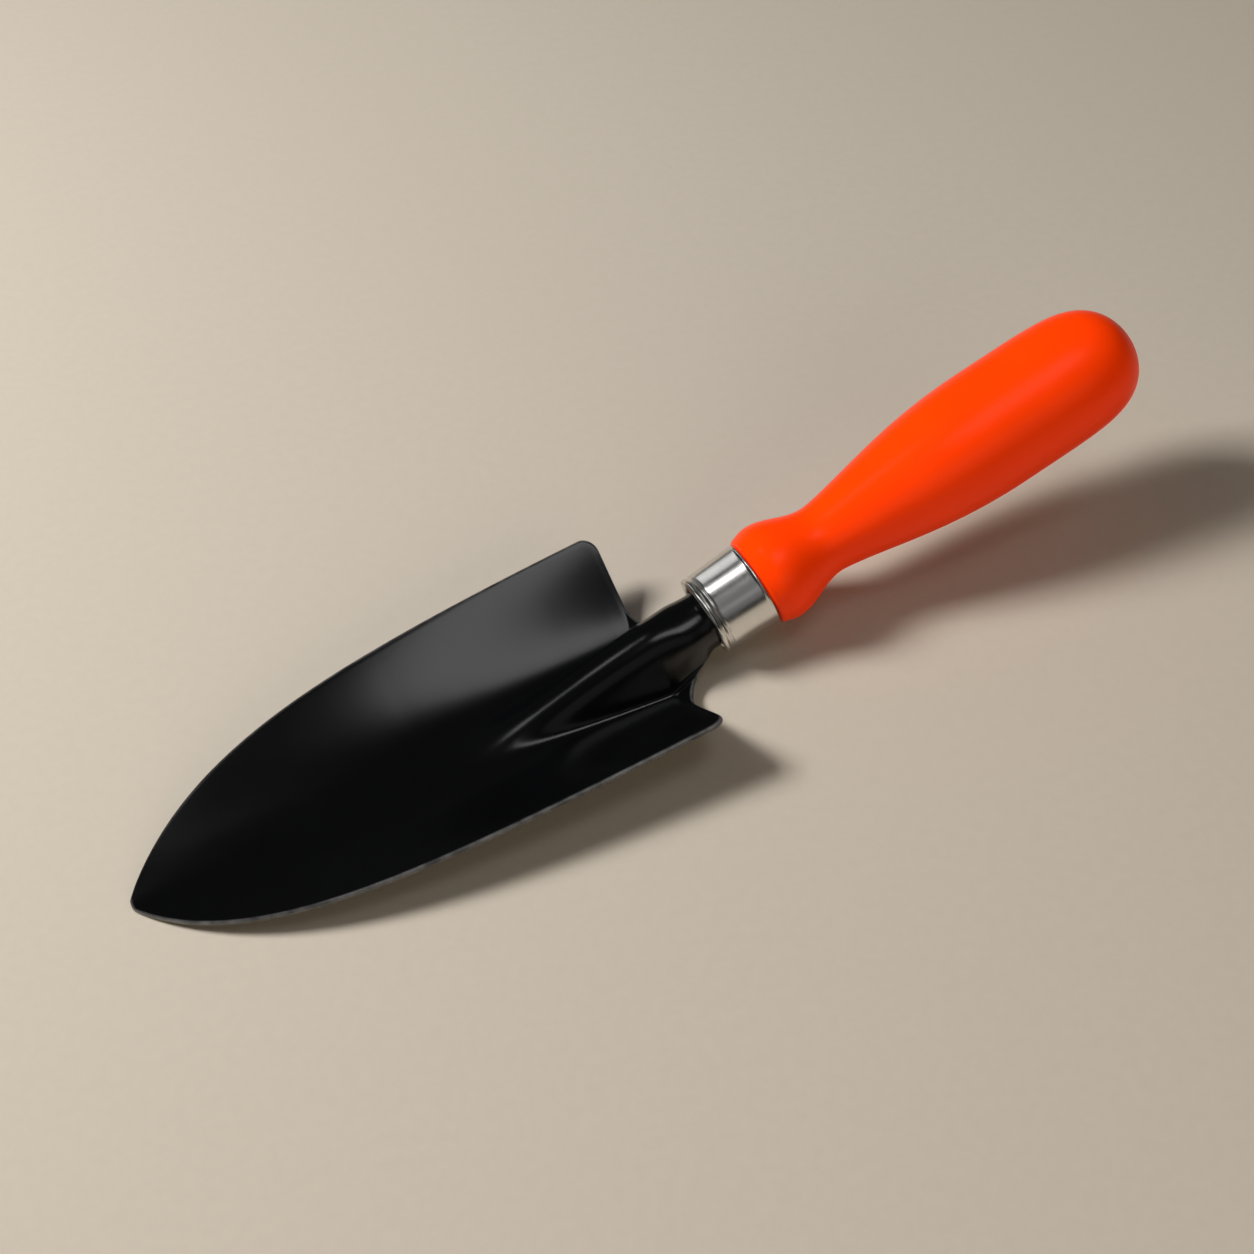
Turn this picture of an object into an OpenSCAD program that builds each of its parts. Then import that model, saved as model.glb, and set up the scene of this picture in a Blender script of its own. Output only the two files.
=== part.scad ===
// Hand trowel: a cupped sheet-steel blade whose rib rolls up into a tang, a turned wooden handle,
// a drawn ferrule over the handle's tenon and the small brad that keeps the ferrule in place.
// The blade rests on the ground with its tip towards -X, and the handle rises towards +X.

/* [Blade] */
// Length of the blade from its tip to its square shoulders
blade_l = 159; // [130:1:190]
// Width of the blade at the shoulders
blade_w = 81; // [70:1:92]
// Thickness of the pressed steel sheet
sheet_t = 1.5; // [1.2:0.1:2]
// Height of the cupped edges at the shoulders
cup_h = 18; // [12:0.5:22]
// Distance over which the pointed outline widens
point_l = 34; // [26:1:42]
// Radius of the shoulder corners
corner_r = 4.5; // [3:0.5:7]
// Radius of the hollow curve between each shoulder and the neck
notch_r = 9; // [6:0.5:11]

/* [Rib and neck] */
// Distance from the tip to the front end of the rib
rib_start = 110; // [95:1:118]
// Radius of the rib's rounded back at its front end
rib_front_r = 5; // [4:0.2:6.4]
// Radius of the rib's rounded back at the neck
rib_rear_r = 7.4; // [6:0.2:8.4]
// Softness of the valleys along both sides of the rib
fillet = 8; // [4:0.5:9]
// Distance from the shoulders to the mouth of the ferrule
neck_l = 14.5; // [12.5:0.5:22]
// Outer radius of the rolled neck at the ferrule
neck_r = 8.6; // [7.5:0.1:9]
// Half angle of the rolled sheet at the ferrule, measured from its crown
wrap = 130; // [110:5:145]
// Depth of the neck's centre below the handle axis at the ferrule's mouth
neck_drop = 1.2; // [0:0.1:1.4]
// Length of the tang behind the ferrule's mouth
tang_l = 56; // [40:1:70]
// Outer radius of the tang at its rear end
tang_r = 4.2; // [3.6:0.1:6]

/* [Ferrule] */
// Outside diameter of the ferrule at its mouth
ferrule_front_d = 23.6; // [23:0.1:24.4]
// Outside diameter of the ferrule at its rear end
ferrule_rear_d = 25.4; // [24:0.1:25.6]
// Length of the ferrule
ferrule_l = 17.5; // [14:0.5:22]
// Wall thickness of the ferrule
ferrule_t = 0.8; // [0.6:0.1:1]
// Radius of the rolled lip round the ferrule's mouth
lip_r = 0.9; // [0.7:0.1:1.1]

/* [Handle] */
// Length of the handle behind the ferrule
handle_l = 127; // [105:1:140]
// Diameter of the bead next to the ferrule
bead_d = 29.4; // [28:0.2:32]
// Diameter of the waist behind the bead
waist_d = 20.9; // [19:0.1:24]
// Diameter of the palm swell
swell_d = 36.2; // [32:0.2:40]
// Upward tilt of the handle axis from the ground, in degrees
tilt = 14.5; // [10:0.5:17]
// Height of the handle axis above the ground at the ferrule's mouth
axis_h = 12.8; // [12.8:0.1:15]

/* [Brad] */
// Diameter of the brad's shank
brad_d = 1.6; // [1.2:0.1:2]
// Diameter of the brad's head
brad_head_d = 3; // [2.4:0.1:3.6]
// Distance from the ferrule's mouth to the brad
brad_s = 10.5; // [8:0.5:11]

/* [Hidden] */

// Clearance between parts that slide together
fit_gap = 0.1;
// Dark seam between the ferrule and the handle's bead
seam_gap = 0.2;
// Depth of the tenon's end face inside the ferrule's mouth
tenon_recess = 3;
// Radial clearance of the tang's bore
bore_gap = 0.15;
// Extra depth of the bore behind the tang
bore_extra = 2;
// Facets round the ferrule and the handle, round small beads and holes, and round the brad's head
round_fn = 96;
small_fn = 32;
head_fn = 48;

mouth_x = blade_l + neck_l;
mid_r = neck_r - sheet_t / 2;
tang_mid_r = tang_r - sheet_t / 2;
body_s = ferrule_l + seam_gap;

function mix(a, b, t) = a + (b - a) * t;
function clip(t) = max(0, min(1, t));
function ease(t) = let(c = clip(t)) c * c * (3 - 2 * c);
function unit(v) = v / norm(v);

// ---- Blade outline and cup ----

// Edge position of the first station, and how far behind zero its curve rounds the point
nose = 0.8;
point_x = 0.75 * nose;
// Share of the full width at a distance x behind the tip: a point that widens into parallel sides
point_power = 0.87;
function widen(x) = pow(1 - exp(-x / point_l), point_power);
function half_w(x) = blade_w / 2 * widen(x) / widen(blade_l);
function side_y(x) = half_w(max(nose, min(x, blade_l)));
function side_share(x, y) = abs(y) / side_y(x);

// Straight side walls that meet in a rounded bend; a larger cup_bend makes the floor rounder
cup_fade = 0.75 * blade_l;
cup_bend = 0.5;
function rise(x) = (1 - exp(-x / cup_fade)) / (1 - exp(-blade_l / cup_fade));
function bend(t) = sqrt(t * t + cup_bend * cup_bend) - cup_bend;
function dish(x, y) = cup_h * rise(x) * bend(side_share(x, y)) / bend(1);

// The rib's crown climbs from the floor to the top of the neck, partly straight and partly bowed
crown_straight = 0.45;
crown_lift = 2.8;
crown_top = axis_h - neck_drop + neck_r + crown_lift;
function rib_share(x) = (x - rib_start) / (mouth_x - rib_start);
function crown(x) = let(t = rib_share(x)) crown_top * mix(sin(90 * t), t, crown_straight);

// Height of the round rib: its flanks fall away from the crown, faster than a circle's
flank = 0.28;
function rib(x, y) =
    let(r = mix(rib_front_r, rib_rear_r, clip(rib_share(x))), t = y * y / (r * r))
    crown(x) - r * (t / 2 + flank * t * t);

// Dish and rib meet in soft valleys
function blend_max(a, b, soft) = (a + b + sqrt((a - b) * (a - b) + soft * soft)) / 2;
function section(x, y) = blend_max(dish(x, y), rib(x, y), fillet);

// Every section is lowered until its valleys touch the ground; the cupped edges keep their height
valley_reach = 24;
floor_share = 0.3;
function lowest(x) = min([for (y = [0:valley_reach]) section(x, min(y, side_y(x)))]);
function outward(x, y) = ease((side_share(x, y) - floor_share) / (1 - floor_share));
function lowered(x, y) = lowest(x) * (1 - rise(x) * outward(x, y));

// Both sides of the neck turn up a little behind the shoulders
flare_rate = 0.06;
flare_from = blade_l - 2;
flare_w = 9;
function flare(x, y) = flare_rate * pow(max(0, x - flare_from), 2) * (1 - exp(-pow(y / flare_w, 2)));
function pan_z(x, y) = section(x, y) - lowered(x, y) + flare(x, y) + sheet_t / 2;

// ---- Stations from the tip to the end of the tang ----

// Each station is [edge x, edge y, centre x, roll share]. Stations lean back at their centre, so
// that their ends can follow the outline round the shoulders and through the notches.
side_n = 36;
corner_n = 5;
shoulder_n = 4;
notch_n = 7;
neck_n = 6;
tang_n = 8;
turn_n = corner_n + shoulder_n + notch_n;
// Spacing of the stations along the sides, closer together at the tip
side_power = 1.5;
// Distance by which the stations lean back at the shoulders, and over which the tip's lean fades
lean = 13;
nose_fade = 8;
// Half widths of the neck at the notches and at the ferrule
notch_w = 13;
neck_w = 10;
side_end = blade_l - corner_r;
corner_y = half_w(side_end) - corner_r;
turn_from = side_end - lean;
turn_to = blade_l + notch_r - 4;
// The pressed section rolls up into a tube between here and the ferrule's mouth
roll_from = blade_l - 5;
function roll(x) = ease((x - roll_from) / (mouth_x - roll_from));
function turn_x(k) = mix(turn_from, turn_to, k / turn_n);
function side_x(k) = nose + (side_end - nose) * pow(k / side_n, side_power);
function side_lean(x) = (nose - point_x) * exp((nose - x) / nose_fade) + lean * ease(x / side_end * 2 - 1);
function station(x, y, centre) = [x, y, centre, roll(centre)];

side_stations = [for (k = [0:side_n - 1])
    let(x = side_x(k)) station(x, half_w(x), x - side_lean(x))];
corner_stations = [for (k = [0:corner_n - 1])
    let(a = 90 * k / corner_n)
    station(side_end + corner_r * sin(a), corner_y + corner_r * cos(a), turn_x(k))];
shoulder_stations = [for (k = [0:shoulder_n - 1])
    station(blade_l, mix(corner_y, notch_w + notch_r, k / shoulder_n), turn_x(corner_n + k))];
notch_stations = [for (k = [0:notch_n - 1])
    let(a = 90 * k / notch_n)
    station(blade_l + notch_r * (1 - cos(a)), notch_w + notch_r * (1 - sin(a)),
        turn_x(corner_n + shoulder_n + k))];
neck_stations = [for (k = [0:neck_n - 1])
    let(t = k / neck_n)
    station(mix(blade_l + notch_r, mouth_x, t), mix(notch_w, neck_w, t), mix(turn_to, mouth_x, t))];
tang_stations = [for (k = [0:tang_n])
    let(x = mouth_x + tang_l * cos(tilt) * k / tang_n) station(x, neck_w, x)];
stations = concat(side_stations, corner_stations, shoulder_stations, notch_stations,
    neck_stations, tang_stations);

// ---- Middle surface of the sheet ----

across_n = 32;
across_power = 1.2;
axis_dir = [cos(tilt), 0, sin(tilt)];
axis_up = [-sin(tilt), 0, cos(tilt)];
mouth = [mouth_x, 0, axis_h];
// Half angle of the rolled sheet where the roll begins
open_wrap = 95;
// The neck rises to the handle axis over this length, from just in front of the ferrule's mouth
settle_from = -1;

// Place across the sheet, from -1 at one edge to 1 at the other, closer together on the rib
function across(j) = let(t = 2 * j / across_n - 1) sign(t) * pow(abs(t), across_power);
function roll_r(s) = mix(mid_r, tang_mid_r, clip(s / tang_l));
function drop(s) = neck_drop * (1 - ease((s - settle_from) / tenon_recess));
function rolled(x, u) =
    let(s = (x - mouth_x) / cos(tilt), r = roll_r(s), a = mix(open_wrap, wrap, roll(x)) * u)
    mouth + s * axis_dir + [0, r * sin(a), 0] + (r * cos(a) - drop(s)) * axis_up;
function pressed(x, y) = [x, y, pan_z(x, y)];
function sheet_point(st, u) = let(x = mix(st[2], st[0], u * u))
    st[3] == 0 ? pressed(x, st[1] * u)
    : st[3] == 1 ? rolled(x, u)
    : mix(pressed(x, st[1] * u), rolled(x, u), st[3]);

// The diagonals of the two halves mirror each other and follow the leaning stations
function turned(q, j) = 2 * j < across_n ? q : [q[1], q[2], q[3], q[0]];

module blade() {
    color("#16181a") {
        rows = len(stations);
        cols = across_n + 1;
        grid = [for (st = stations) [for (j = [0:across_n]) sheet_point(st, across(j))]];
        normals = [for (i = [0:rows - 1]) [for (j = [0:across_n])
            unit(cross(grid[min(i + 1, rows - 1)][j] - grid[max(i - 1, 0)][j],
                grid[i][min(j + 1, across_n)] - grid[i][max(j - 1, 0)]))]];
        skin = [for (side = [1, -1]) for (i = [0:rows - 1]) for (j = [0:across_n])
            grid[i][j] + side * sheet_t / 2 * normals[i][j]];
        under = rows * cols;
        quads = concat(
            [for (i = [0:rows - 2]) for (j = [0:across_n - 1]) let(a = i * cols + j)
                turned([a, a + cols, a + cols + 1, a + 1], j)],
            [for (i = [0:rows - 2]) for (j = [0:across_n - 1]) let(a = under + i * cols + j)
                turned([a, a + 1, a + cols + 1, a + cols], j)],
            [for (i = [0:rows - 2]) let(a = i * cols)
                [a, a + under, a + under + cols, a + cols]],
            [for (i = [0:rows - 2]) let(a = i * cols + across_n)
                [a, a + cols, a + under + cols, a + under]],
            [for (j = [0:across_n - 1]) [j, j + 1, j + 1 + under, j + under]],
            [for (j = [0:across_n - 1]) let(a = (rows - 1) * cols + j)
                [a, a + under, a + under + 1, a + 1]]);
        triangles = [for (q = quads) each [[q[0], q[1], q[2]], [q[0], q[2], q[3]]]];
        polyhedron(points = skin, faces = triangles, convexity = 8);
    }
}

// Puts the children on the handle axis, with +Z along it and z = 0 at the ferrule's mouth
module on_axis() {
    translate(mouth)
        rotate([0, 90 - tilt, 0])
            children();
}

// ---- Ferrule ----

// Outer radius of the slightly tapered ferrule at a distance from its mouth
function ferrule_r(s) = mix(ferrule_front_d, ferrule_rear_d, s / ferrule_l) / 2;

// Beads round the ferrule: [distance from the mouth, radius of the bead, how far it stands proud]
lip = [lip_r, lip_r, 0.25];
second_bead = [lip_r * 3.1, 0.5, 0.12];
rear_bead = [ferrule_l - 0.6, 0.6, 0.15];

module bead_section(bead) {
    translate([ferrule_r(bead[0]) + bead[2] - bead[1], bead[0]])
        circle(r = bead[1], $fn = small_fn);
}

module ferrule_section() {
    difference() {
        union() {
            polygon([[ferrule_r(lip_r), lip_r], [ferrule_r(ferrule_l), ferrule_l],
                [ferrule_r(ferrule_l) - ferrule_t, ferrule_l], [ferrule_r(lip_r) - ferrule_t, lip_r]]);
            bead_section(lip);
            bead_section(second_bead);
            bead_section(rear_bead);
        }
        // Keeps the beads out of the space for the tenon
        polygon([[0, tenon_recess], [ferrule_r(tenon_recess) - ferrule_t, tenon_recess],
            [ferrule_r(ferrule_l) - ferrule_t, ferrule_l], [0, ferrule_l]]);
        translate([0, ferrule_l])
            square([ferrule_rear_d, rear_bead[1]]);
    }
}

module brad_hole() {
    translate([0, 0, brad_s])
        rotate([-90, 0, 0])
            cylinder(d = brad_d, h = ferrule_rear_d, $fn = small_fn);
}

module ferrule() {
    color("silver")
        on_axis()
            difference() {
                rotate_extrude($fn = round_fn)
                    ferrule_section();
                brad_hole();
            }
}

// ---- Handle ----

// Distances behind the handle's front face, as shares of its length
rim_share = 0.01;
bead_share = 0.044;
waist_share = 0.175;
swell_share = 0.63;
// Bluntness of the domed end, and how early the palm swell grows
end_power = 5.6;
swell_ease = 0.7;
// Radius of the handle's front face, just inside the bead
rim_r = bead_d / 2 - 1;

// Radius of the handle at a share of its length
function wave(t) = (1 - cos(180 * t)) / 2;
function bead_rise(t) = rim_r + (bead_d / 2 - rim_r) * sin(90 * t);
function handle_r(t) =
    t < bead_share ? bead_rise((t - rim_share) / (bead_share - rim_share))
    : t < waist_share ? mix(bead_d, waist_d, wave((t - bead_share) / (waist_share - bead_share))) / 2
    : t < swell_share
        ? mix(waist_d, swell_d, wave(pow((t - waist_share) / (swell_share - waist_share), swell_ease))) / 2
    : swell_d / 2 * sqrt(max(0, 1 - pow((t - swell_share) / (1 - swell_share), end_power)));

// Numbers of profile points round the rim, along the body and round the domed end
rim_n = 5;
long_n = 44;
end_n = 14;
rim_h = rim_share * handle_l;
// Share of the length where the domed end takes over from the evenly spaced points
dome_share = 0.93;
rim_points = [for (k = [0:rim_n - 1]) let(a = 90 * k / rim_n)
    [rim_r - rim_h * (1 - sin(a)), body_s + rim_h * (1 - cos(a))]];
long_points = [for (k = [0:long_n - 1]) let(t = mix(rim_share, dome_share, k / long_n))
    [handle_r(t), body_s + handle_l * t]];
dome_points = [for (k = [0:end_n]) let(t = mix(dome_share, 1, sin(90 * k / end_n)))
    [k == end_n ? 0 : handle_r(t), body_s + handle_l * t]];

// Width of the small chamfer on the tenon's front edge, and radius of the tapered tenon
tenon_chamfer = 0.6;
function tenon_r(s) = ferrule_r(s) - ferrule_t - fit_gap;

module handle_section() {
    polygon(concat(
        [[0, tenon_recess],
         [tenon_r(tenon_recess) - tenon_chamfer, tenon_recess],
         [tenon_r(tenon_recess), tenon_recess + tenon_chamfer],
         [tenon_r(ferrule_l), body_s]],
        rim_points, long_points, dome_points));
}

// Tapered bore for the tang, open at the tenon's end face
module tang_bore() {
    slope = (neck_r - tang_r) / tang_l;
    from = tenon_recess - 1;
    to = tang_l + bore_extra;
    translate([0, 0, from])
        cylinder(r1 = neck_r - slope * from + bore_gap, r2 = neck_r - slope * to + bore_gap,
            h = to - from, $fn = round_fn);
}

module handle() {
    color("#ff4a00")
        on_axis()
            difference() {
                rotate_extrude($fn = round_fn)
                    handle_section();
                tang_bore();
                brad_hole();
            }
}

// ---- Brad ----

// Length of wood that the brad's point goes into, and the height of its low head
brad_bite = 2.2;
brad_head_h = 0.5;
// The head stands on the ferrule at its wider, rear side
brad_seat_r = ferrule_r(brad_s + brad_head_d / 2);

module ferrule_brad() {
    depth = brad_seat_r - ferrule_r(brad_s) + ferrule_t + fit_gap + brad_bite;
    color("silver")
        on_axis()
            translate([0, brad_seat_r, brad_s])
                rotate([-90, 0, 0]) {
                    translate([0, 0, -depth])
                        cylinder(d = brad_d, h = depth + brad_head_h / 2, $fn = small_fn);
                    rotate_extrude($fn = head_fn)
                        polygon([[0, 0], [brad_head_d / 2, 0], [brad_head_d / 2, brad_head_h / 2],
                            [brad_head_d / 3, brad_head_h], [0, brad_head_h]]);
                }
}

// ---- Placing ----

// The trowel is centred between its point and the rearmost spot of the handle's domed end
rear_x = max([for (p = dome_points) mouth_x + p[1] * cos(tilt) + p[0] * sin(tilt)]);

module placed() {
    translate([-(point_x + rear_x) / 2, 0, 0])
        children();
}

placed() blade();
placed() ferrule();
placed() handle();
placed() ferrule_brad();
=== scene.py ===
# Hand trowel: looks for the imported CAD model. Everything is in metres, in the CAD frame.
import math

import bpy
import numpy as np
from mathutils import Matrix, Vector


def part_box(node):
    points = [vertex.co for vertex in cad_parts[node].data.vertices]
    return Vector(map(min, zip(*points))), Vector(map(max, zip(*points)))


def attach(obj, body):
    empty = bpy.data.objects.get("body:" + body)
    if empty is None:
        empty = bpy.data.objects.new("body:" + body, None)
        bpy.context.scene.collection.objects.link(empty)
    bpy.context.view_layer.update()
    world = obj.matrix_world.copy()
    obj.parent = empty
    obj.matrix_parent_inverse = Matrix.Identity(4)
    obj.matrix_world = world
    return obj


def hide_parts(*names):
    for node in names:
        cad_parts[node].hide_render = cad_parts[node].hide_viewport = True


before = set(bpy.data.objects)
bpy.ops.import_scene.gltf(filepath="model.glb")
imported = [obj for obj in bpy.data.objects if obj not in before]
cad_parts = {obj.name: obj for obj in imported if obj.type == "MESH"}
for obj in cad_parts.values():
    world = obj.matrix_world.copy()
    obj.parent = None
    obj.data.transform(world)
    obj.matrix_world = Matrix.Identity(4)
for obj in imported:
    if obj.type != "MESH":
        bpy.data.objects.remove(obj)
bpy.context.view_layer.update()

MM = 0.001
COS, SIN = math.cos, math.sin

# ---------------------------------------------------------------- design sizes, in millimetres
BLADE_L = 159.0
BLADE_W = 81.0
SHEET_T = 1.5
CUP_H = 18.0
POINT_L = 34.0
CORNER_R = 4.5
NOTCH_R = 9.0
NOTCH_W = 13.0
NECK_W = 10.0
RIB_START = 110.0
RIB_FRONT_R = 5.0
CROWN_STRAIGHT = 0.45
RIB_LIFT = 2.8
RIB_REAR_R = 7.4
FLANK = 0.28
FILLET = 8.0
NECK_L = 14.5
NECK_R = 8.6
WRAP_FRONT = math.radians(95.0)
WRAP_REAR = math.radians(130.0)
NECK_DROP = 1.2
TANG_L = 56.0
TANG_R = 4.2
FERRULE_FRONT_R = 11.8
FERRULE_REAR_R = 12.7
FERRULE_L = 17.5
FERRULE_T = 0.8
LIP_R = 0.9
HANDLE_L = 127.0
BEAD_R = 14.7
WAIST_R = 10.45
SWELL_R = 18.1
TILT = math.radians(14.5)
AXIS_H = 12.8
SEAM_GAP = 0.2
BRAD_D = 1.6
BRAD_HEAD_D = 3.0
BRAD_S = 10.5

MOUTH_X = BLADE_L + NECK_L
AXIS_DIR = np.array([COS(TILT), 0.0, SIN(TILT)])
AXIS_UP = np.array([-SIN(TILT), 0.0, COS(TILT)])
SIDE = np.array([0.0, 1.0, 0.0])
MOUTH = np.array([MOUTH_X, 0.0, AXIS_H])
NOSE = 0.8
POINT_X = 0.75 * NOSE
# The blade's point is the frame's lowest X
ZERO_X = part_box("blade")[0][0] / MM - POINT_X


# ---------------------------------------------------------------- helpers
def mix(a, b, t):
    """The value a share t of the way from a to b."""
    return a + (b - a) * t


def ease(t):
    """A smooth step from 0 to 1."""
    t = np.clip(t, 0.0, 1.0)
    return t * t * (3 - 2 * t)


def to_frame(points):
    """Design millimetres to frame metres."""
    return (np.asarray(points, float) + [ZERO_X, 0.0, 0.0]) * MM


def mesh_object(name, points, faces, material, smooth=True):
    mesh = bpy.data.meshes.new(name)
    mesh.from_pydata([tuple(p) for p in points], [], faces)
    mesh.validate()
    mesh.polygons.foreach_set("use_smooth", [smooth] * len(mesh.polygons))
    mesh.materials.append(material)
    mesh.update()
    obj = bpy.data.objects.new(name, mesh)
    bpy.context.scene.collection.objects.link(obj)
    return obj


def add_piece(obj, node):
    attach(obj, "root")
    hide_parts(node)


# ---------------------------------------------------------------- blade surface
POINT_POWER = 0.87
CUP_FADE = 0.75 * BLADE_L
CUP_BEND = 0.5
FLOOR_SHARE = 0.3
VALLEY_REACH = 24
FLARE = 0.06
FLARE_FROM = BLADE_L - 2
FLARE_W = 9.0
ROLL_FROM = BLADE_L - 5


def widen(x):
    """How the outline opens from the point, before it is scaled to the blade's width."""
    return (1 - np.exp(-x / POINT_L)) ** POINT_POWER


def half_w(x):
    return BLADE_W / 2 * widen(x) / widen(BLADE_L)


def side_y(x):
    """The half width that the cup is shaped to, held level before the nose and past the shoulders."""
    return half_w(np.clip(x, NOSE, BLADE_L))


def rise(x):
    """The share of the cup's full height reached at x."""
    return (1 - np.exp(-x / CUP_FADE)) / (1 - math.exp(-BLADE_L / CUP_FADE))


def dish(x, y):
    """Height over the keel: straight side walls that meet in a rounded bend."""
    edge = CUP_H * rise(x)
    share = np.abs(y) / side_y(x)
    bend = np.sqrt(share**2 + CUP_BEND**2) - CUP_BEND
    return edge * bend / (math.sqrt(1 + CUP_BEND**2) - CUP_BEND)


def rib(x, y):
    """A round ridge whose crown climbs from the pan to the top of the neck."""
    share = (x - RIB_START) / (MOUTH_X - RIB_START)
    crown = (AXIS_H - NECK_DROP + NECK_R + RIB_LIFT) * mix(np.sin(np.pi / 2 * share), share, CROWN_STRAIGHT)
    r = mix(RIB_FRONT_R, RIB_REAR_R, np.clip(share, 0, 1))
    t = (y / r) ** 2
    return crown - r * (t / 2 + FLANK * t * t)


def smooth_max(a, b, k):
    """The higher of two heights, blended where they are within about k."""
    return (a + b + np.sqrt((a - b) ** 2 + k * k)) / 2


def section(x, y):
    return smooth_max(dish(x, y), rib(x, y), FILLET)


def pressed(x, y):
    """The middle of the pressed sheet: its floor is on the ground, and it flares up past the shoulders."""
    lines = [np.minimum(line, side_y(x)) for line in range(VALLEY_REACH + 1)]
    lowest = np.min([section(x, line) for line in lines], axis=0)
    share = np.abs(y) / side_y(x)
    lowered = lowest * (1 - rise(x) * ease((share - FLOOR_SHARE) / (1 - FLOOR_SHARE)))
    flare = FLARE * np.clip(x - FLARE_FROM, 0, None) ** 2 * (1 - np.exp(-((y / FLARE_W) ** 2)))
    return np.stack([x, y, section(x, y) - lowered + flare + SHEET_T / 2], axis=-1)


def roll(x):
    """The share of rolling: none on the blade, all of it at the ferrule's mouth."""
    return ease((x - ROLL_FROM) / (MOUTH_X - ROLL_FROM))


def rolled(x, u):
    """The middle of the sheet where it is rolled round the handle's axis, as the neck and the tang."""
    s = (x - MOUTH_X) / COS(TILT)
    r = mix(NECK_R, TANG_R, np.clip(s / TANG_L, 0, 1)) - SHEET_T / 2
    drop = NECK_DROP * (1 - ease((s + 1) / 3))
    wrap = mix(WRAP_FRONT, WRAP_REAR, roll(x))
    across, up = r * np.sin(wrap * u), r * np.cos(wrap * u) - drop
    return MOUTH + s[..., None] * AXIS_DIR + across[..., None] * SIDE + up[..., None] * AXIS_UP


# ---------------------------------------------------------------- blade stations
SIDE_N, CORNER_N, SHOULDER_N, NOTCH_N, NECK_N, TANG_N = 150, 18, 14, 26, 20, 10
TURN_N = CORNER_N + SHOULDER_N + NOTCH_N
LEAN = 13.0
NOSE_FADE = 8.0
SIDE_END = BLADE_L - CORNER_R
TURN_FROM = SIDE_END - LEAN
TURN_TO = BLADE_L + NOTCH_R - 4


def blade_stations():
    """Rows of edge x, edge y, centre x and roll share, from the tip to the end of the tang."""
    rows = []
    for k in range(SIDE_N):
        x = NOSE + (SIDE_END - NOSE) * (k / SIDE_N) ** 1.5
        lean = (NOSE - POINT_X) * math.exp((NOSE - x) / NOSE_FADE) + LEAN * ease(x / SIDE_END * 2 - 1)
        rows.append((x, half_w(x), x - lean, 0.0))
    corner_y = half_w(SIDE_END) - CORNER_R
    for k in range(TURN_N):
        centre = mix(TURN_FROM, TURN_TO, k / TURN_N)
        if k < CORNER_N:
            a = math.pi / 2 * k / CORNER_N
            x, y = SIDE_END + CORNER_R * SIN(a), corner_y + CORNER_R * COS(a)
        elif k < CORNER_N + SHOULDER_N:
            x, y = BLADE_L, mix(corner_y, NOTCH_W + NOTCH_R, (k - CORNER_N) / SHOULDER_N)
        else:
            a = math.pi / 2 * (k - CORNER_N - SHOULDER_N) / NOTCH_N
            x, y = BLADE_L + NOTCH_R * (1 - COS(a)), NOTCH_W + NOTCH_R * (1 - SIN(a))
        rows.append((x, y, centre, roll(centre)))
    for k in range(NECK_N):
        centre = mix(TURN_TO, MOUTH_X, k / NECK_N)
        edge_x = mix(BLADE_L + NOTCH_R, MOUTH_X, k / NECK_N)
        rows.append((edge_x, mix(NOTCH_W, NECK_W, k / NECK_N), centre, roll(centre)))
    for k in range(TANG_N + 1):
        x = MOUTH_X + TANG_L * COS(TILT) * k / TANG_N
        rows.append((x, NECK_W, x, 1.0))
    return np.array(rows)


EDGE_R = 0.7
EDGE_N = 6
HALF_ACROSS = 44
# How far in from the outline the paler rim reaches: partly edge wear, partly a painted highlight along the
# edge.
EDGE_WEAR_AND_HIGHLIGHT_FADE = 1.2


def across_places(half_width):
    """Distances from the edge and places across one half of the sheet, centre first."""
    edge = min(EDGE_R, 0.3 * half_width)
    inner = 1 - edge / half_width
    even = [inner * (k / HALF_ACROSS) ** 1.2 for k in range(HALF_ACROSS + 1)]
    turned = [1 - edge * (1 - COS(math.pi / 2 * k / EDGE_N)) / half_width for k in range(EDGE_N)]
    return np.array(even + turned[::-1])


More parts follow.
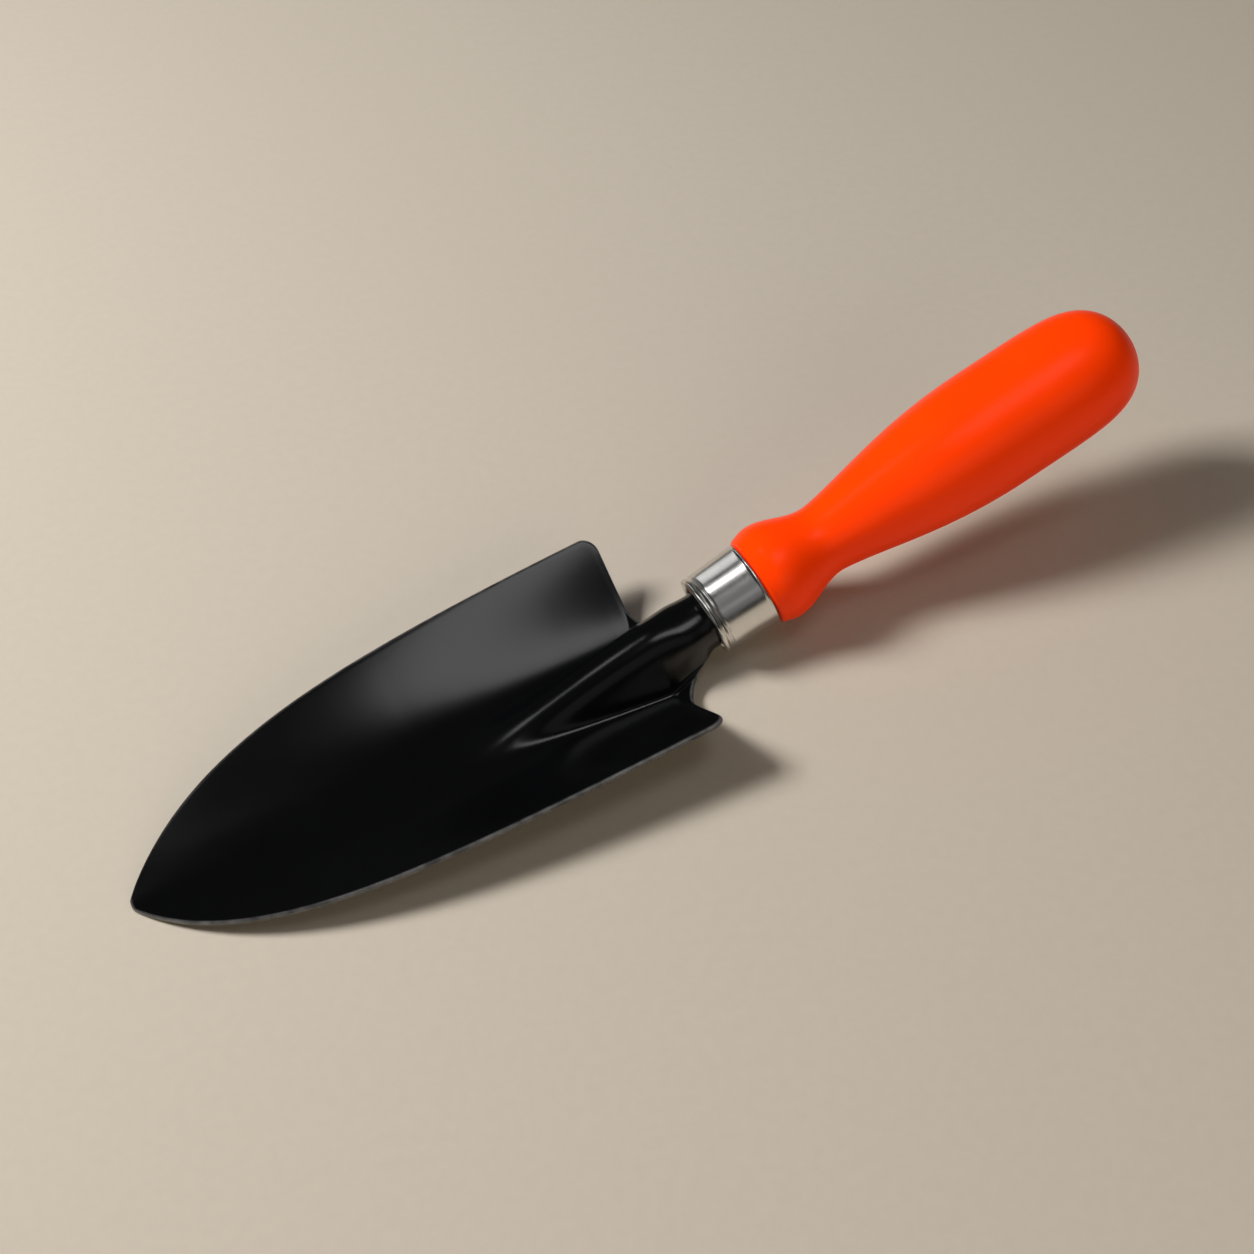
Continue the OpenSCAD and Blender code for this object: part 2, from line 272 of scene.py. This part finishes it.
def build_blade(material):
    stations = blade_stations()
    halves = [across_places(y) for y in stations[:, 1]]
    u = np.array([np.concatenate([-h[:0:-1], h]) for h in halves])
    edge_x, edge_y, centre_x, share = (stations[:, [k]] for k in range(4))
    x = mix(centre_x, edge_x, u * u)
    y = edge_y * u
    middle = mix(pressed(x, y), rolled(x, u), share[..., None])
    normal = np.cross(np.gradient(middle, axis=0), np.gradient(middle, axis=1))
    normal /= np.linalg.norm(normal, axis=-1, keepdims=True)
    # The sheet thins to a rounded edge all round its outline
    from_side = (1 - np.abs(u)) * edge_y
    from_tip = np.hypot(x - x[0], 0 * y)
    depth = np.clip(np.minimum(from_side, from_tip) / EDGE_R, 0, 1)
    half_t = SHEET_T / 2 - EDGE_R * (1 - np.sqrt(1 - (1 - depth) ** 2))
    top = middle + normal * half_t[..., None]
    under = middle - normal * half_t[..., None]
    rows, cols = u.shape
    points = to_frame(np.concatenate([top.reshape(-1, 3), under.reshape(-1, 3)]))
    low = rows * cols
    faces = []
    for i in range(rows - 1):
        for j in range(cols - 1):
            a = i * cols + j
            faces.append((a, a + cols, a + cols + 1, a + 1))
            faces.append((low + a, low + a + 1, low + a + cols + 1, low + a + cols))
        a, b = i * cols, i * cols + cols - 1
        faces.append((a, a + low, a + low + cols, a + cols))
        faces.append((b, b + cols, b + low + cols, b + low))
    last = (rows - 1) * cols
    for j in range(cols - 1):
        faces.append((j, j + 1, j + 1 + low, j + low))
        faces.append((last + j, last + j + low, last + j + low + 1, last + j + 1))
    blade = mesh_object("blade_sheet", points, faces, material)
    # The rim attribute marks the paler band along the outline: partly edge wear, partly a painted highlight
    # along the edge.
    rim = blade.data.attributes.new("rim", "FLOAT", "POINT")
    edge_wear_and_highlight = np.exp(-np.minimum(from_side, from_tip) / EDGE_WEAR_AND_HIGHLIGHT_FADE).ravel()
    rim.data.foreach_set("value", np.concatenate([edge_wear_and_highlight, edge_wear_and_highlight]))
    return blade


# ---------------------------------------------------------------- turned pieces
def lathe(name, profile, material, turns=160, base=MOUTH, axis=AXIS_DIR, out=SIDE, across=AXIS_UP):
    """Turns a profile of (radius, distance from the base) round an axis, the handle's unless told."""
    profile = np.array(profile, float)
    angles = np.linspace(0, 2 * math.pi, turns, endpoint=False)
    ring = np.cos(angles)[:, None] * out + np.sin(angles)[:, None] * across
    points, faces, rows = [], [], []
    for r, s in profile:
        if r < 1e-6:
            rows.append([len(points)] * turns)
            points.append(base + s * axis)
        else:
            rows.append(list(range(len(points), len(points) + turns)))
            points.extend(base + s * axis + r * ring)
    for a, b in zip(rows[:-1], rows[1:]):
        for k in range(turns):
            n = (k + 1) % turns
            faces.append(tuple(dict.fromkeys([a[k], a[n], b[n], b[k]])))
    return mesh_object(name, to_frame(points), faces, material)


def arc(centre_r, centre_s, radius, start, end, steps):
    """Profile points round a bead, angles in degrees from straight out, towards the rear."""
    turns = np.radians(np.linspace(start, end, steps + 1))
    return [(centre_r + radius * COS(a), centre_s + radius * SIN(a)) for a in turns]


def ferrule_r(s):
    """Outer radius of the slightly tapered ferrule at a distance from the mouth."""
    return mix(FERRULE_FRONT_R, FERRULE_REAR_R, s / FERRULE_L)


GROOVE_R = 0.28
RING_R, RING_PROUD = 0.5, 0.12
REAR_R, REAR_PROUD = 0.6, 0.15
LIP_PROUD = 0.25


def build_ferrule(material):
    """The cap's wall, from inside round the rolled lip, the groove and the ring to the rear bead."""
    lip_s, ring_s, rear_s = LIP_R, LIP_R * 3.1, FERRULE_L - REAR_R
    inner = ferrule_r(FERRULE_L) - FERRULE_T
    profile = [(inner, FERRULE_L), (ferrule_r(3 * LIP_R) - FERRULE_T, 3 * LIP_R)]
    profile += [(ferrule_r(0) - FERRULE_T, LIP_R + 0.35)]
    profile += arc(ferrule_r(lip_s) + LIP_PROUD - LIP_R, lip_s, LIP_R, -200, 52, 22)
    profile += arc(ferrule_r(lip_s) + 0.05, LIP_R * 1.98 + 0.12, GROOVE_R, 205, 160, 4)
    profile += arc(ferrule_r(ring_s) + RING_PROUD - RING_R, ring_s, RING_R, -55, 60, 9)
    profile += [(ferrule_r(ring_s) - 0.04, ring_s + 0.6), (ferrule_r(ring_s) + 0.05, ring_s + 0.95)]
    profile += [(ferrule_r(s), s) for s in np.linspace(ring_s + 1.3, FERRULE_L - 1.5, 12)]
    profile += arc(ferrule_r(rear_s) + REAR_PROUD - REAR_R, rear_s, REAR_R, -42, 88, 9)
    profile += [(inner, FERRULE_L)]
    return lathe("ferrule_cap", profile, material, turns=224)


RIM_SHARE, BEAD_SHARE, WAIST_SHARE, SWELL_SHARE = 0.01, 0.044, 0.175, 0.63
END_POWER = 5.6
SWELL_EASE = 0.7
RIM_R = BEAD_R - 1
BODY_S = FERRULE_L + SEAM_GAP
TENON_S = 3.0
TENON_GAP = FERRULE_T + 0.1
TENON_EDGE = 0.6
BORE_GAP = 0.15
DOME_SHARE = 0.93


def wave(t):
    """Half a cosine wave, from 0 to 1."""
    return (1 - COS(math.pi * t)) / 2


def handle_r(t):
    """Radius of the handle at a share of its length."""
    if t < BEAD_SHARE:
        return mix(RIM_R, BEAD_R, SIN(math.pi / 2 * (t - RIM_SHARE) / (BEAD_SHARE - RIM_SHARE)))
    if t < WAIST_SHARE:
        return mix(BEAD_R, WAIST_R, wave((t - BEAD_SHARE) / (WAIST_SHARE - BEAD_SHARE)))
    if t < SWELL_SHARE:
        along = ((t - WAIST_SHARE) / (SWELL_SHARE - WAIST_SHARE)) ** SWELL_EASE
        return mix(WAIST_R, SWELL_R, wave(along))
    past = (t - SWELL_SHARE) / (1 - SWELL_SHARE)
    return SWELL_R * math.sqrt(max(0.0, 1 - past**END_POWER))


def build_handle(material):
    """The handle's outside from the tenon to the domed end, then back down the bore for the tang."""
    rim = RIM_SHARE * HANDLE_L
    bore = NECK_R + BORE_GAP
    front, rear = ferrule_r(TENON_S) - TENON_GAP, ferrule_r(FERRULE_L) - TENON_GAP
    profile = [(bore, TENON_S), (front - TENON_EDGE, TENON_S), (front, TENON_S + TENON_EDGE)]
    profile += [(rear, BODY_S), (RIM_R - rim, BODY_S)]
    for a in np.radians(np.linspace(0, 90, 9)[1:-1]):
        profile.append((RIM_R - rim * (1 - SIN(a)), BODY_S + rim * (1 - COS(a))))
    for t in np.linspace(RIM_SHARE, DOME_SHARE, 150, endpoint=False):
        profile.append((handle_r(t), BODY_S + HANDLE_L * t))
    for a in np.radians(np.linspace(0, 90, 40)):
        t = mix(DOME_SHARE, 1.0, SIN(a))
        profile.append((handle_r(t) if SIN(a) < 1 else 0.0, BODY_S + HANDLE_L * t))
    back = profile[::-1]
    depth = TANG_L + 2
    slope = (NECK_R - TANG_R) / TANG_L
    back += [(bore - slope * depth, depth), (0.0, depth)]
    return lathe("handle_body", back, material)


def build_brad(material):
    """A low domed head standing on the ferrule, on a short shank that goes into the tenon."""
    centre = MOUTH + BRAD_S * AXIS_DIR + ferrule_r(BRAD_S + BRAD_HEAD_D / 2) * SIDE
    profile = [(0.0, -3.1), (BRAD_D / 2 - 0.4, -2.9), (BRAD_D / 2, -2.2), (BRAD_D / 2, 0.0)]
    profile += [(BRAD_HEAD_D / 2 - 0.05, 0.0), (BRAD_HEAD_D / 2, 0.08), (BRAD_HEAD_D / 2, 0.2)]
    for a in np.radians(np.linspace(20, 90, 7)):
        profile.append((BRAD_HEAD_D / 2 * COS(a) if a < 1.57 else 0.0, 0.2 + 0.28 * SIN(a)))
    ring = {"out": AXIS_DIR, "across": -AXIS_UP}
    return lathe("brad_head", profile, material, turns=48, base=centre, axis=SIDE, **ring)


# ---------------------------------------------------------------- materials
def new_material(name):
    material = bpy.data.materials.new(name)
    material.use_nodes = True
    nodes = material.node_tree.nodes
    nodes.clear()
    out = nodes.new("ShaderNodeOutputMaterial")
    shader = nodes.new("ShaderNodeBsdfPrincipled")
    material.node_tree.links.new(shader.outputs["BSDF"], out.inputs["Surface"])
    return material, nodes, material.node_tree.links, shader


def noise(nodes, links, vector, scale, detail=3.0, roughness=0.5):
    node = nodes.new("ShaderNodeTexNoise")
    node.inputs["Scale"].default_value = scale
    node.inputs["Detail"].default_value = detail
    node.inputs["Roughness"].default_value = roughness
    links.new(vector, node.inputs["Vector"])
    return node.outputs["Fac"]


def remap(nodes, links, value, low, high, to_low, to_high):
    node = nodes.new("ShaderNodeMapRange")
    for socket, number in zip(("From Min", "From Max", "To Min", "To Max"), (low, high, to_low, to_high)):
        node.inputs[socket].default_value = number
    links.new(value, node.inputs["Value"])
    return node.outputs["Result"]


def blend_colour(nodes, links, factor, first, second):
    node = nodes.new("ShaderNodeMix")
    node.data_type = "RGBA"
    links.new(factor, node.inputs["Factor"])
    for socket, colour in ((node.inputs[6], first), (node.inputs[7], second)):
        if isinstance(colour, tuple):
            socket.default_value = (*colour, 1.0)
        else:
            links.new(colour, socket)
    return node.outputs[2]


def bump(nodes, links, height, strength, distance, normal=None):
    node = nodes.new("ShaderNodeBump")
    node.inputs["Strength"].default_value = strength
    node.inputs["Distance"].default_value = distance
    links.new(height, node.inputs["Height"])
    if normal is not None:
        links.new(normal, node.inputs["Normal"])
    return node.outputs["Normal"]


def along_axis(nodes, links):
    """Object coordinates turned so that X runs along the handle axis."""
    coords = nodes.new("ShaderNodeTexCoord")
    mapping = nodes.new("ShaderNodeMapping")
    mapping.vector_type = "POINT"
    mapping.inputs["Rotation"].default_value = (0.0, TILT, 0.0)
    links.new(coords.outputs["Object"], mapping.inputs["Vector"])
    return coords.outputs["Object"], mapping.outputs["Vector"]


def stretched(nodes, links, vector, scale):
    node = nodes.new("ShaderNodeMapping")
    node.vector_type = "POINT"
    node.inputs["Scale"].default_value = scale
    links.new(vector, node.inputs["Vector"])
    return node.outputs["Vector"]


def black_coating():
    """Satin black stoving lacquer on pressed steel, paler along the sheared edges: partly thin coating,
    partly a painted highlight on the edge.
    """
    material, nodes, links, shader = new_material("satin_black_coating")
    flat, _ = along_axis(nodes, links)
    cloud = noise(nodes, links, flat, 45.0, 4.0)
    peel = noise(nodes, links, flat, 1900.0, 2.0)
    dust = noise(nodes, links, flat, 5200.0, 1.0)
    # Paler grey near the edges, in patches: partly worn coating, partly a painted highlight along the edge.
    rim = nodes.new("ShaderNodeAttribute")
    rim.attribute_name = "rim"
    rim_wear_and_highlight = nodes.new("ShaderNodeMath")
    rim_wear_and_highlight.operation = "MULTIPLY"
    wear_and_highlight_patches = noise(nodes, links, flat, 260.0, 4.0)
    links.new(remap(nodes, links, rim.outputs["Fac"], 0.5, 0.95, 0.0, 1.0), rim_wear_and_highlight.inputs[0])
    links.new(remap(nodes, links, wear_and_highlight_patches, 0.35, 0.7, 0.35, 1.0), rim_wear_and_highlight.inputs[1])
    body = blend_colour(nodes, links, cloud, (0.0010, 0.0011, 0.0013), (0.0020, 0.0022, 0.0026))
    colour = blend_colour(nodes, links, rim_wear_and_highlight.outputs[0], body, (0.11, 0.11, 0.115))
    links.new(colour, shader.inputs["Base Color"])
    links.new(remap(nodes, links, cloud, 0.3, 0.7, 0.20, 0.215), shader.inputs["Roughness"])
    shader.inputs["Specular IOR Level"].default_value = 0.5
    shader.inputs["Coat Weight"].default_value = 0.1
    shader.inputs["Coat Roughness"].default_value = 0.2
    fine = bump(nodes, links, dust, 0.05, 0.00004)
    links.new(bump(nodes, links, peel, 0.10, 0.00008, fine), shader.inputs["Normal"])
    return material


def polished_metal():
    """Drawn and polished cap: fine rings from the polishing wheel and a few soft smudges."""
    material, nodes, links, shader = new_material("polished_ferrule")
    flat, turned = along_axis(nodes, links)
    rings = noise(nodes, links, stretched(nodes, links, turned, (9000.0, 60.0, 60.0)), 1.0, 3.0, 0.6)
    smudge = noise(nodes, links, flat, 170.0, 4.0)
    colour = blend_colour(nodes, links, rings, (0.70, 0.69, 0.67), (0.86, 0.85, 0.83))
    links.new(colour, shader.inputs["Base Color"])
    shader.inputs["Metallic"].default_value = 1.0
    links.new(remap(nodes, links, smudge, 0.3, 0.75, 0.21, 0.25), shader.inputs["Roughness"])
    links.new(bump(nodes, links, rings, 0.10, 0.00003), shader.inputs["Normal"])
    return material


def orange_paint():
    """Thick glossy paint over turned wood: the grain shows only as faint lengthwise ripples."""
    material, nodes, links, shader = new_material("orange_paint")
    flat, turned = along_axis(nodes, links)
    grain = noise(nodes, links, stretched(nodes, links, turned, (45.0, 700.0, 700.0)), 1.0, 4.0, 0.6)
    peel = noise(nodes, links, flat, 900.0, 2.0)
    cloud = noise(nodes, links, flat, 55.0, 3.0)
    colour = blend_colour(nodes, links, cloud, (0.92, 0.041, 0.0003), (0.99, 0.050, 0.0005))
    links.new(colour, shader.inputs["Base Color"])
    links.new(remap(nodes, links, cloud, 0.3, 0.7, 0.30, 0.38), shader.inputs["Roughness"])
    shader.inputs["Specular IOR Level"].default_value = 0.12
    shader.inputs["Coat Weight"].default_value = 0.05
    shader.inputs["Coat Roughness"].default_value = 0.20
    ripple = bump(nodes, links, grain, 0.06, 0.00012)
    links.new(bump(nodes, links, peel, 0.05, 0.00010, ripple), shader.inputs["Normal"])
    return material


def plain_steel():
    """Bare steel wire with fine marks, for the brad."""
    material, nodes, links, shader = new_material("brad_steel")
    flat, _ = along_axis(nodes, links)
    marks = noise(nodes, links, flat, 2600.0, 3.0)
    colour = blend_colour(nodes, links, marks, (0.42, 0.42, 0.42), (0.60, 0.59, 0.58))
    links.new(colour, shader.inputs["Base Color"])
    shader.inputs["Metallic"].default_value = 1.0
    links.new(remap(nodes, links, marks, 0.3, 0.7, 0.25, 0.42), shader.inputs["Roughness"])
    links.new(bump(nodes, links, marks, 0.15, 0.00003), shader.inputs["Normal"])
    return material


# ---------------------------------------------------------------- stage
VIEW_AZIMUTH = math.radians(22.0)
VIEW_ELEVATION = math.radians(47.93)
VIEW_ROLL = math.radians(7.4)
VIEW_AIM = Vector((-0.0047, 0.0063, 0.015))
VIEW_DISTANCE = 0.5346
VIEW_LENS = 54.94


def add_camera():
    data = bpy.data.cameras.new("camera")
    data.sensor_width = 36.0
    data.lens = VIEW_LENS
    data.clip_start, data.clip_end = 0.01, 20.0
    camera = bpy.data.objects.new("camera", data)
    bpy.context.scene.collection.objects.link(camera)
    flat = COS(VIEW_ELEVATION)
    away = Vector((SIN(VIEW_AZIMUTH) * flat, COS(VIEW_AZIMUTH) * flat, -SIN(VIEW_ELEVATION)))
    camera.rotation_mode = "QUATERNION"
    turn = away.to_track_quat("-Z", "Y")
    camera.rotation_quaternion = turn @ Matrix.Rotation(-VIEW_ROLL, 3, "Z").to_quaternion()
    camera.location = VIEW_AIM - away * VIEW_DISTANCE
    bpy.context.scene.camera = camera


def add_floor():
    material, nodes, links, shader = new_material("pale_floor")
    flat, _ = along_axis(nodes, links)
    speck = noise(nodes, links, flat, 300.0, 3.0)
    colour = blend_colour(nodes, links, speck, (0.41, 0.375, 0.325), (0.44, 0.40, 0.35))
    links.new(colour, shader.inputs["Base Color"])
    shader.inputs["Roughness"].default_value = 0.8
    half = 3.0
    corners = [(-half, -half, 0), (half, -half, 0), (half, half, 0), (-half, half, 0)]
    floor = mesh_object("floor", corners, [(0, 1, 2, 3)], material, smooth=False)


def add_area(name, place, aim, size, watts, colour=(1.0, 1.0, 1.0), mirrored=True, only=None):
    """A soft box. One that isn't mirrored lights the object without showing in its gloss.

    One with a list of pieces in only is a card held close to those pieces, and lights nothing else.
    """
    data = bpy.data.lights.new(name, "AREA")
    data.shape = "RECTANGLE"
    data.size, data.size_y = size
    data.energy = watts
    data.color = colour
    light = bpy.data.objects.new(name, data)
    bpy.context.scene.collection.objects.link(light)
    light.location = place
    light.rotation_mode = "QUATERNION"
    light.rotation_quaternion = (Vector(aim) - Vector(place)).to_track_quat("-Z", "Y")
    light.visible_glossy = mirrored
    if only is not None:
        receivers = bpy.data.collections.new(name + "_receivers")
        for piece in only:
            receivers.objects.link(piece)
        light.light_linking.receiver_collection = receivers


BLADE_AIM = (0.0, 0.0, 0.0)
FERRULE_AIM = (0.02, 0.0, 0.015)
WINDOW_COLOUR = (1.0, 0.97, 0.92)
BOUNCE_COLOUR = (1.0, 0.84, 0.62)


def add_lights(ferrule):
    world = bpy.data.worlds.new("world")
    bpy.context.scene.world = world
    world.use_nodes = True
    background = world.node_tree.nodes["Background"]
    background.inputs["Color"].default_value = (1.0, 0.98, 0.95, 1.0)
    background.inputs["Strength"].default_value = 0.02
    window_aim = (0.0, 0.0, 0.02)
    add_area("window", (-0.75, 0.55, 0.95), window_aim, (0.4, 0.4), 26.0, WINDOW_COLOUR, mirrored=False)
    add_area("bounce", (0.1, -1.2, 0.5), BLADE_AIM, (1.2, 0.6), 6.5, BOUNCE_COLOUR, mirrored=False)
    add_area("overhead", (0.19, -0.33, 1.2), BLADE_AIM, (0.55, 0.40), 1.5)
    add_area("rib_strip", (-0.30, 0.27, 0.9), BLADE_AIM, (0.16, 0.22), 0.26)
    add_area("ferrule_strip", (-0.065, 0.10, 0.495), FERRULE_AIM, (0.085, 0.36), 0.24, only=[ferrule])
    add_area("ferrule_card", (-0.01, 0.40, 0.24), FERRULE_AIM, (0.10, 0.34), 0.10, only=[ferrule])
    add_area("ferrule_front", (-0.02, -0.30, 0.42), FERRULE_AIM, (0.34, 0.42), 0.06, only=[ferrule])
    add_area("near_card", (-0.3, -1.3, 0.75), BLADE_AIM, (1.4, 0.7), 0.4)


# ---------------------------------------------------------------- build
add_camera()
add_floor()
add_piece(build_blade(black_coating()), "blade")
ferrule = build_ferrule(polished_metal())
add_piece(ferrule, "ferrule")
add_piece(build_handle(orange_paint()), "handle")
add_piece(build_brad(plain_steel()), "ferrule_brad")
add_lights(ferrule)

bpy.context.scene.view_settings.view_transform = "Standard"
